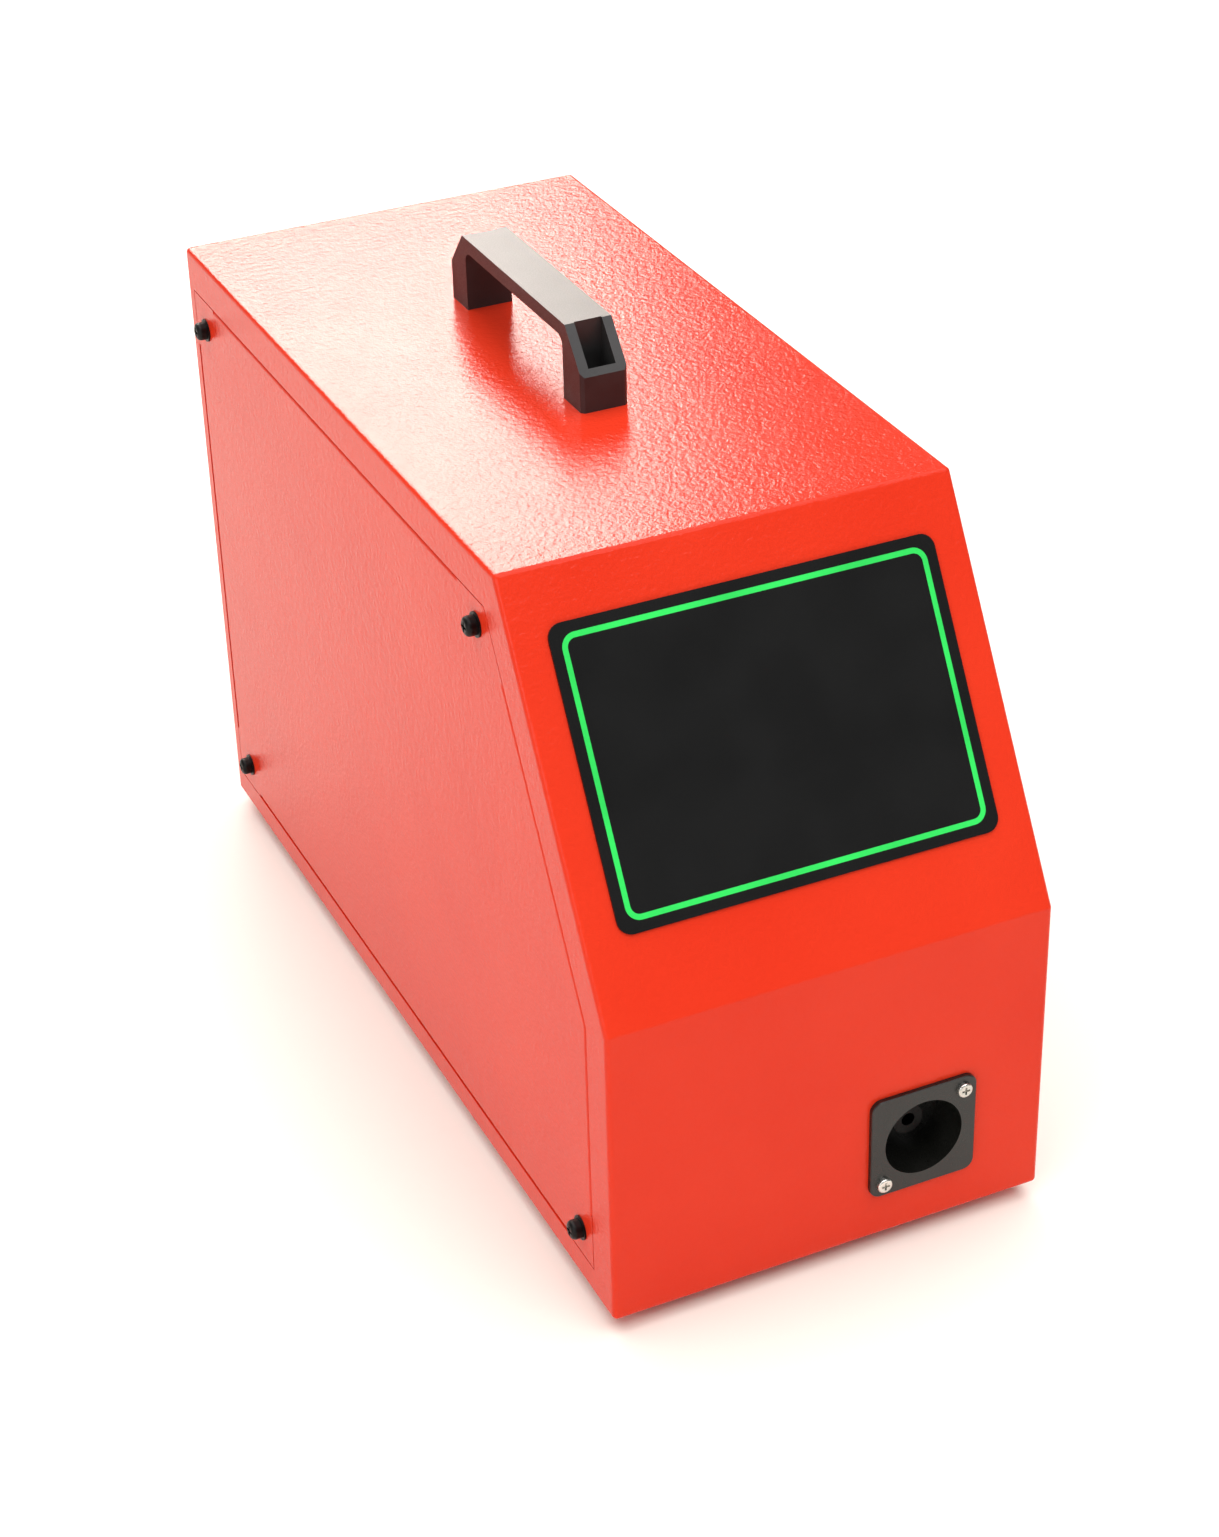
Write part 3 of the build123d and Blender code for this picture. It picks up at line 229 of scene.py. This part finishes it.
def moulded_plastic(name, colour, roughness, grain=1400.0, depth=0.00003, specular=0.5):
    """Moulded plastic with fine spark-eroded grain and faint cloudiness."""
    material, tree, shader, coords = start_material(name)
    cloud = noise(tree, coords, 40.0, 3.0)
    fine = noise(tree, coords, grain, 2.0)
    lighter = tuple(min(1.0, c * 1.6 + 0.004) for c in colour)
    tree.links.new(ramp(tree, cloud, [(0.3, colour), (0.75, lighter)]), shader.inputs["Base Color"])
    tree.links.new(ranged(tree, fine, roughness - 0.06, roughness + 0.08), shader.inputs["Roughness"])
    set_inputs(shader, Specular_IOR_Level=specular)
    bump(tree, shader, [(fine, depth, 0.6)])
    return material


def bare_metal(name, colour, roughness, stretch=(1, 1, 1), grain=500.0, stain=(0.6, 0.6, 0.6)):
    """Bare or plated metal with a machining grain along one axis and slight staining."""
    material, tree, shader, coords = start_material(name)
    cloud = noise(tree, coords, 60.0, 4.0)
    lines = noise(tree, coords, grain, 3.0, stretch)
    dark = tuple(c * s for c, s in zip(colour, stain))
    tree.links.new(ramp(tree, cloud, [(0.25, dark), (0.55, colour)]), shader.inputs["Base Color"])
    tree.links.new(ranged(tree, lines, roughness - 0.08, roughness + 0.14), shader.inputs["Roughness"])
    set_inputs(shader, Metallic=1.0)
    bump(tree, shader, [(lines, 0.00003, 0.4)])
    return material


def gloss_film(name, colour):
    """Gloss printed film with faint clouding and dust."""
    material, tree, shader, coords = start_material(name)
    dust = noise(tree, coords, 1500.0, 1.0)
    wave = noise(tree, coords, 25.0, 1.0)
    lighter = tuple(c * 1.2 + 0.001 for c in colour)
    tree.links.new(ramp(tree, wave, [(0.35, colour), (0.65, lighter)]), shader.inputs["Base Color"])
    tree.links.new(ranged(tree, dust, 0.10, 0.16), shader.inputs["Roughness"])
    set_inputs(shader, Specular_IOR_Level=0.35)
    bump(tree, shader, [(dust, 0.00001, 0.2)])
    return material


FAINT = (0.86, 0.86, 0.87)
RED = (0.68, 0.030, 0.010)
RED_LIGHT = (0.73, 0.040, 0.014)
MATERIALS = {
    "red_coat": powder_coat("red_coat", RED, RED_LIGHT),
    "black_nylon": moulded_plastic("black_nylon", (0.016, 0.015, 0.015), 0.42),
    "black_gloss": gloss_film("black_gloss", (0.006, 0.006, 0.006)),
    "green_line": gloss_film("green_line", (0.03, 0.62, 0.10)),
    "black_flange": moulded_plastic("black_flange", (0.004, 0.004, 0.003), 0.32),
    "black_screws": bare_metal("black_screws", (0.022, 0.021, 0.021), 0.42),
    "zinc_screws": bare_metal("zinc_screws", (0.72, 0.71, 0.66), 0.28),
    "steel": bare_metal("steel", (0.60, 0.60, 0.59), 0.30, (0.1, 1, 1)),
    "hard_steel": bare_metal("hard_steel", (0.42, 0.42, 0.42), 0.22, (0.1, 1, 1)),
    "alloy": bare_metal("alloy", (0.76, 0.77, 0.78), 0.38, (1, 0.05, 1)),
    "die_cast": bare_metal("die_cast", (0.55, 0.56, 0.57), 0.48),
    "motor_steel": moulded_plastic("motor_steel", (0.02, 0.02, 0.022), 0.3),
    "galvanised": bare_metal("galvanised", (0.66, 0.67, 0.68), 0.42, (1, 1, 1), 60.0, FAINT),
    "brass": bare_metal("brass", (0.80, 0.58, 0.24), 0.25, (1, 0.1, 1)),
    "rubber": moulded_plastic("rubber", (0.014, 0.014, 0.014), 0.75),
    "hub_nylon": moulded_plastic("hub_nylon", (0.02, 0.02, 0.022), 0.45),
    "board_green": moulded_plastic("board_green", (0.01, 0.16, 0.06), 0.35),
    "supply_case": bare_metal("supply_case", (0.72, 0.73, 0.74), 0.35, (1, 0.05, 1)),
    "wire_black": moulded_plastic("wire_black", (0.02, 0.02, 0.02), 0.5),
    "knob_red": moulded_plastic("knob_red", (0.50, 0.02, 0.012), 0.35),
    "button_green": moulded_plastic("button_green", (0.02, 0.40, 0.08), 0.3),
    "button_black": moulded_plastic("button_black", (0.015, 0.015, 0.015), 0.3),
    "spring_steel": bare_metal("spring_steel", (0.50, 0.50, 0.50), 0.25),
    "chip_black": moulded_plastic("chip_black", (0.012, 0.012, 0.013), 0.45),
    "terminal_green": moulded_plastic("terminal_green", (0.02, 0.30, 0.10), 0.4),
    "capacitor_sleeve": moulded_plastic("capacitor_sleeve", (0.02, 0.03, 0.09), 0.25),
    "wire_red": moulded_plastic("wire_red", (0.45, 0.02, 0.015), 0.4),
    "wire_blue": moulded_plastic("wire_blue", (0.02, 0.06, 0.38), 0.4),
    "tie_white": moulded_plastic("tie_white", (0.62, 0.62, 0.60), 0.45),
}


SLOTS = {part["node"]: part["material_slot"] for part in frame["record"]["subparts"]}
JOINTS = {joint["name"]: joint for joint in frame["joints"]}
SOFTENED = {
    "handle": 0.7, "outlet_flange": 0.35, "right_door": 0.3, "latch_low": 0.6, "latch_high": 0.6,
    "door_pull": 0.5, "power_inlet": 0.4, "switch_body": 0.4, "switch_rocker": 0.5, "button_box": 0.8,
    "gearbox": 0.8, "drive_plate": 0.5, "lever_clevis": 0.4, "name_plate": 0.2, "button_forward": 0.8,
    "button_reverse": 0.8, "pressure_arm_front": 0.6, "pressure_arm_rear": 0.6, "power_supply": 0.5,
}


def soften(obj, width_mm):
    """Rounds an object's sharp edges by a bevel modifier."""
    bevel = obj.modifiers.new("soft_edges", "BEVEL")
    bevel.width = width_mm * MM
    bevel.segments = 3
    bevel.limit_method = "ANGLE"
    bevel.angle_limit = math.radians(40)
    bevel.harden_normals = False


def dress_nodes():
    """Gives every CAD node the material of its slot, and softens the sharp edges of those listed in SOFTENED."""
    for name, node in NODES.items():
        node.data.materials.clear()
        node.data.materials.append(MATERIALS[SLOTS[name]])
        if name in SOFTENED:
            soften(node, SOFTENED[name])


# Building blocks for the pieces; lengths in millimetres

def new_piece(name, mesh, body, slot, stands_for=(), bevel=0.0):
    """Object from a mesh in the row frame, with its material, body and smooth shading."""
    for polygon in mesh.polygons:
        polygon.use_smooth = True
    mesh.set_sharp_from_angle(angle=math.radians(35))
    obj = bpy.data.objects.new(name, mesh)
    bpy.context.scene.collection.objects.link(obj)
    mesh.materials.append(MATERIALS[slot])
    if bevel:
        soften(obj, bevel)
    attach(obj, body)
    if stands_for:
        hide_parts(*stands_for)
    return obj


def axis_frame(centre, direction):
    """Matrix that takes a piece built up +Z from the origin to a centre, along a direction."""
    turn = Vector((0, 0, 1)).rotation_difference(Vector(direction)).to_matrix().to_4x4()
    return Matrix.Translation(Vector(centre)) @ turn


def mesh_of(shape, name, place=None):
    """Finished mesh from a bmesh in millimetres, placed and scaled to metres."""
    if place:
        bmesh.ops.transform(shape, matrix=place, verts=shape.verts)
    bmesh.ops.scale(shape, vec=(MM, MM, MM), verts=shape.verts)
    bmesh.ops.recalc_face_normals(shape, faces=shape.faces)
    mesh = bpy.data.meshes.new(name)
    shape.to_mesh(mesh)
    shape.free()
    return mesh


def turned(profile, steps=64, flutes=0, flute_depth=0.0, shape=None):
    """Turned solid about +Z over (radius, height) points, with optional flutes round its sides."""
    shape = shape or bmesh.new()
    rings = []
    for radius, height in profile:
        ring = []
        for step in range(steps):
            angle = 2 * math.pi * step / steps
            dip = flute_depth * (0.5 - 0.5 * math.cos(flutes * angle)) if flutes else 0.0
            r = max(radius - dip * (radius > flute_depth * 3), 0.01)
            ring.append(shape.verts.new((r * math.cos(angle), r * math.sin(angle), height)))
        rings.append(ring)
    for low, high in zip(rings, rings[1:]):
        for step in range(steps):
            after = (step + 1) % steps
            shape.faces.new((low[step], low[after], high[after], high[step]))
    shape.faces.new(list(reversed(rings[0])))
    shape.faces.new(rings[-1])
    return shape


def ring_turned(profile, steps=64, shape=None):
    """Turned ring about +Z over a closed (radius, height) outline."""
    shape = shape or bmesh.new()
    rings = []
    for radius, height in profile:
        rings.append([shape.verts.new((radius * math.cos(2 * math.pi * s / steps),
                                       radius * math.sin(2 * math.pi * s / steps), height))
                      for s in range(steps)])
    for low, high in zip(rings, rings[1:] + rings[:1]):
        for step in range(steps):
            after = (step + 1) % steps
            shape.faces.new((low[step], low[after], high[after], high[step]))
    return shape


def slab(outline, low, high, shape=None):
    """Prism along Z over an outline of (x, y) points."""
    shape = shape or bmesh.new()
    bottom = [shape.verts.new((x, y, low)) for x, y in outline]
    top = [shape.verts.new((x, y, high)) for x, y in outline]
    count = len(outline)
    for step in range(count):
        after = (step + 1) % count
        shape.faces.new((bottom[step], bottom[after], top[after], top[step]))
    shape.faces.new(list(reversed(bottom)))
    shape.faces.new(top)
    return shape


def join(target, source):
    """Adds a shape's faces to another, and frees it."""
    part = bpy.data.meshes.new("part")
    source.to_mesh(part)
    target.from_mesh(part)
    source.free()


def rounded_outline(x0, x1, y0, y1, radius, steps=6):
    """Rectangle with round corners, as (x, y) points."""
    points = []
    corners = [(x1 - radius, y1 - radius, 0), (x0 + radius, y1 - radius, 90),
               (x0 + radius, y0 + radius, 180), (x1 - radius, y0 + radius, 270)]
    for cx, cy, start in corners:
        for step in range(steps + 1):
            angle = math.radians(start + 90 * step / steps)
            points.append((cx + radius * math.cos(angle), cy + radius * math.sin(angle)))
    return points


def tube(points, radius, name, smooth=True):
    """Round wire mesh through points in millimetres."""
    curve = bpy.data.curves.new(name, "CURVE")
    curve.dimensions = "3D"
    curve.bevel_depth = radius * MM
    curve.bevel_resolution = 4
    curve.use_fill_caps = True
    spline = curve.splines.new("NURBS" if smooth else "POLY")
    spline.points.add(len(points) - 1)
    for point, place in zip(spline.points, points):
        point.co = (*(Vector(place) * MM), 1)
    if smooth:
        spline.order_u = 3
        spline.use_endpoint_u = True
        spline.resolution_u = 8
    holder = bpy.data.objects.new(name, curve)
    mesh = bpy.data.meshes.new_from_object(holder)
    bpy.data.objects.remove(holder)
    return mesh


def box_mm(node):
    """A CAD node's lowest and highest corners in millimetres."""
    low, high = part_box(node)
    return Vector(low) / MM, Vector(high) / MM


def joint_mm(name):
    """A joint's place at rest, in millimetres."""
    return Vector(JOINTS[name]["pos_m"]) / MM


# Tension levers

LEVER_REST = 75


def build_lever(end):
    """Tension lever: eye and threaded rod, wound spring between washers, fluted knob."""
    pivot = joint_mm(f"{end}_lever_swing")
    body = f"{end}_lever"
    place = Matrix.Translation(pivot) @ Matrix.Rotation(math.radians(LEVER_REST), 4, "Y")

    rod = turned([(2.4, 3.6), (2.9, 4.4), (2.9, 45.0), (2.4, 45.8)])
    eye = ring_turned([(2.06, -2.9), (4.6, -2.9), (4.95, -2.5), (4.95, 2.5), (4.6, 2.9), (2.06, 2.9)])
    bmesh.ops.transform(eye, matrix=Matrix.Rotation(math.radians(90), 4, "X"), verts=eye.verts)
    rod_mesh = mesh_of(rod, f"lever_rod_{end}", place)
    new_piece(f"lever_rod_{end}", rod_mesh, body, "zinc_screws", [f"tension_rod_{end}"])
    new_piece(f"lever_eye_{end}", mesh_of(eye, f"lever_eye_{end}", place), body, "zinc_screws")

    turns, wire_r, coil_r, low, high = 5, 0.75, 4.6, 19.4, 28.0
    steps = turns * 24
    points = []
    for step in range(steps + 1):
        angle = 2 * math.pi * turns * step / steps
        height = low + (high - low) * step / steps
        points.append(place @ Vector((coil_r * math.cos(angle), coil_r * math.sin(angle), height)))
    new_piece(f"lever_spring_{end}", tube(points, wire_r, f"lever_spring_{end}"), body, "spring_steel")
    washers = bmesh.new()
    for z in (17.7, 28.6):
        ring_turned([(3.1, z), (5.3, z), (5.5, z + 0.25), (5.5, z + 0.65), (5.3, z + 0.9), (3.1, z + 0.9)],
                    shape=washers)
    new_piece(f"lever_washers_{end}", mesh_of(washers, f"lever_washers_{end}", place), body, "zinc_screws")

    profile = [(3.4, 29.7), (5.6, 29.7), (6.6, 30.6), (6.9, 32.0), (6.9, 45.0), (6.4, 46.8), (5.2, 47.7),
               (3.0, 47.9)]
    knob = turned(profile, steps=144, flutes=18, flute_depth=0.55)
    knob_mesh = mesh_of(knob, f"lever_knob_{end}", place)
    new_piece(f"lever_knob_{end}", knob_mesh, body, "knob_red", [f"tension_knob_{end}"])


# Spool hub

def build_spool_hub():
    """Ribbed hub core, spoked back flange and driving peg."""
    low, high = box_mm("spool_hub")
    spin = joint_mm("hub_spin")
    flange_low, core_high = low.x, high.x
    place = axis_frame((0, spin.y, spin.z), (1, 0, 0))
    core = ring_turned([(10.1, flange_low), (24.0, flange_low), (24.0, core_high - 2),
                        (22.6, core_high), (17.1, core_high), (17.1, 84.3), (10.1, 84.3)], 96)
    new_piece("hub_core", mesh_of(core, "hub_core", place), "hub", "hub_nylon", ["spool_hub"], 0.4)
    ribs = bmesh.new()
    for number in range(12):
        angle = 2 * math.pi * number / 12
        rib = slab([(23.6, -1.3), (24.7, -1.0), (24.95, 0), (24.7, 1.0), (23.6, 1.3)],
                   flange_low + 5, core_high - 4)
        turn = Matrix.Rotation(angle, 4, "Z")
        bmesh.ops.transform(rib, matrix=turn, verts=rib.verts)
        join(ribs, rib)
    new_piece("hub_ribs", mesh_of(ribs, "hub_ribs", place), "hub", "hub_nylon")
    flange = ring_turned([(24.5, flange_low + 0.2), (55.2, flange_low + 0.2), (55.9, flange_low + 1.0),
                          (55.9, flange_low + 4.2), (55.2, flange_low + 4.9), (51.5, flange_low + 4.9),
                          (51.0, flange_low + 3.2), (29.5, flange_low + 3.2), (29.0, flange_low + 4.9),
                          (24.5, flange_low + 4.9)], 96)
    new_piece("hub_flange", mesh_of(flange, "hub_flange", place), "hub", "hub_nylon")
    spokes = bmesh.new()
    for number in range(16):
        angle = 2 * math.pi * (number + 0.5) / 16
        spoke = slab(rounded_outline(28.5, 52.0, -0.9, 0.9, 0.4, 3), flange_low + 3, flange_low + 4.8)
        bmesh.ops.transform(spoke, matrix=Matrix.Rotation(angle, 4, "Z"), verts=spoke.verts)
        join(spokes, spoke)
    new_piece("hub_spokes", mesh_of(spokes, "hub_spokes", place), "hub", "hub_nylon")
    peg = turned([(4.4, flange_low + 4.8), (4.4, flange_low + 17.5), (3.6, flange_low + 19.2),
                  (2.2, flange_low + 19.8)])
    peg_place = axis_frame((0, spin.y - PEG_RADIUS, spin.z), (1, 0, 0))
    new_piece("hub_peg", mesh_of(peg, "hub_peg", peg_place), "hub", "zinc_screws")


# Feet

def build_feet():
    """Moulded rubber feet with a ribbed side and a sunk screw seat."""
    low, high = box_mm("feet")
    top = high.z
    shape = bmesh.new()
    for x in (low.x + FOOT_R, high.x - FOOT_R):
        for y in (low.y + FOOT_R, high.y - FOOT_R):
            foot = ring_turned([
                (5.1, 0.2), (5.6, 0.0), (10.9, 0.0), (11.5, 0.5), (11.7, 2.6), (11.3, 3.0), (11.3, 3.5),
                (12.0, 3.9), (12.3, 5.9), (11.9, 6.3), (11.9, 6.8), (12.6, 7.2), (12.95, 9.4),
                (12.7, top), (2.2, top), (2.2, 5.0), (5.1, 5.0)])
            bmesh.ops.translate(foot, vec=(x, y, 0), verts=foot.verts)
            join(shape, foot)
    new_piece("rubber_feet", mesh_of(shape, "rubber_feet"), "case", "rubber", ["feet"])


# Electronics

def build_driver_board():
    """Driver board with heat sink, capacitors, chips and terminal strips on its own spacers."""
    low, high = box_mm("driver_board")
    back = high.x - 10
    face = back - 1.6
    board = slab(rounded_outline(low.y, high.y, low.z, high.z, 3), face, back)
    to_row = Matrix(((0, 0, 1, 0), (1, 0, 0, 0), (0, 1, 0, 0), (0, 0, 0, 1)))
    new_piece("circuit_board", mesh_of(board, "circuit_board", to_row), "case", "board_green",
              ["driver_board"])
    spacers, sink, chips, cans, strips = (bmesh.new() for _ in range(5))
    for y in (low.y + 6, high.y - 6):
        for z in (low.z + 6, high.z - 6):
            outline = [(y + 3.2 * math.cos(math.radians(60 * k)), z + 3.2 * math.sin(math.radians(60 * k)))
                       for k in range(6)]
            slab(outline, back, high.x, spacers)
            slab(outline, face - 1.6, face, spacers)
    slab(rounded_outline(low.y + 10, low.y + 40, 300, 326, 0.5), face - 4, face - 0.4, sink)
    for number in range(9):
        z = 301 + number * 3
        slab(rounded_outline(low.y + 10, low.y + 40, z - 0.6, z + 0.6, 0.3, 2), face - 21, face - 3.8, sink)
    for y0, y1, z0, z1, tall in ((62, 82, 270, 290, 2.4), (90, 99, 296, 308, 2), (106, 118, 262, 270, 2),
                                 (52, 58, 300, 312, 1.6), (90, 96, 270, 276, 1.6)):
        slab(rounded_outline(low.y + y0, low.y + y1, z0, z1, 0.5, 2), face - tall, face - 0.3, chips)
    for number in range(7):
        y = low.y + 91 + number * 5.8
        slab(rounded_outline(y, y + 5.4, 236, 248, 0.4, 2), face - 11.5, face, strips)
    for number in range(4):
        can = turned([(5.4, 0), (5.9, 0.6), (5.9, 2.0), (5.5, 2.5), (5.9, 3.0), (5.9, 18.6), (5.4, 19.4),
                      (4.6, 19.4), (4.4, 19.1)])
        spot = axis_frame((face, low.y + 22 + number * 16, 250), (-1, 0, 0))
        bmesh.ops.transform(can, matrix=spot, verts=can.verts)
        join(cans, can)
    for name, shape, slot in (
            ("board_spacers", spacers, "brass"), ("board_heat_sink", sink, "alloy"),
            ("board_chips", chips, "chip_black"), ("board_terminals", strips, "terminal_green")):
        new_piece(name, mesh_of(shape, name, to_row), "case", slot, (), 0.15)
    new_piece("board_capacitors", mesh_of(cans, "board_capacitors"), "case", "capacitor_sleeve")


def build_supply_details():
    """Terminal screws of the power supply."""
    low = box_mm("power_supply")[0]
    screws = bmesh.new()
    for number in range(7):
        x = low.x + 10 + number * 11.2
        head = turned([(2.6, 0), (2.8, 0.3), (2.8, 1.6), (2.2, 2.2), (0.5, 2.4)], 32)
        bmesh.ops.translate(head, vec=(x, low.y + 6, low.z + 25), verts=head.verts)
        join(screws, head)
    new_piece("terminal_screws", mesh_of(screws, "terminal_screws"), "case", "zinc_screws")


HARNESS_RUNS = {
    "inlet_wires": [(-80, 272, 80), (-80, 262, 79), (-78, 252, 74), (-70, 246, 66), (-66, 238, 60),
                    (-66, 232, 56)],
    "supply_wires": [(-40, 46, 42), (-40, 46, 60), (-39, 46, 90), (-32, 46, 118), (-27, 46, 150),
                     (-26, 46, 190), (-26, 46, 234)],
    "motor_wires": [(-96, -130, 80), (-96, -130, 98), (-94, -124, 122), (-82, -100, 150), (-62, -64, 196),
                    (-46, -50, 240), (-34, -41, 292)],
}
WIRE_COLOURS = ("wire_red", "wire_black", "wire_blue")


def build_harness():
    """Internal wiring: three twisted conductors to each run, with cable ties."""
    first = True
    for run, points in HARNESS_RUNS.items():
        for number, slot in enumerate(WIRE_COLOURS):
            twisted = []
            for step, point in enumerate(points):
                angle = 2 * math.pi * number / 3 + step * 1.3
                shift = Vector((math.cos(angle), math.sin(angle), 0)) * 1.35
                twisted.append(Vector(point) + shift)
            name = f"{run}_{slot.split('_')[1]}"
            new_piece(name, tube(twisted, 1.05, name), "case", slot, ["harness"] if first else ())
            first = False
        middle = points[len(points) // 2]
        after = points[len(points) // 2 + 1]
        tie = ring_turned([(2.6, -1.2), (3.1, -1.2), (3.3, -0.9), (3.3, 0.9), (3.1, 1.2), (2.6, 1.2)], 32)
        place = axis_frame(middle, Vector(after) - Vector(middle))
        new_piece(f"{run}_tie", mesh_of(tie, f"{run}_tie", place), "case", "tie_white")


# Drive details

def build_motor_details():
    """End cap screws and a clamped band on the motor can."""
    low = box_mm("motor_can")[0]
    spin = joint_mm("motor_spin")
    place = axis_frame((0, spin.y, spin.z), (1, 0, 0))
    band = ring_turned([(25.95, low.x + 30), (26.4, low.x + 30.3), (26.4, low.x + 41.7),
                        (25.95, low.x + 42)], 96)
    new_piece("motor_band", mesh_of(band, "motor_band", place), "case", "zinc_screws")
    screws = bmesh.new()
    for number in range(4):
        angle = math.radians(45 + 90 * number)
        head = turned([(2.6, 0), (2.6, 1.2), (2.0, 1.9), (0.8, 2.1)], 32)
        centre = (low.x + 6, spin.y + 19 * math.cos(angle), spin.z + 19 * math.sin(angle))
        bmesh.ops.transform(head, matrix=axis_frame(centre, (-1, 0, 0)), verts=head.verts)
        join(screws, head)
    new_piece("motor_screws", mesh_of(screws, "motor_screws"), "case", "zinc_screws")


dress_nodes()
for lever_end in ("front", "rear"):
    build_lever(lever_end)
build_spool_hub()
build_feet()
build_driver_board()
build_supply_details()
build_harness()
build_motor_details()
add_camera()
add_stage()
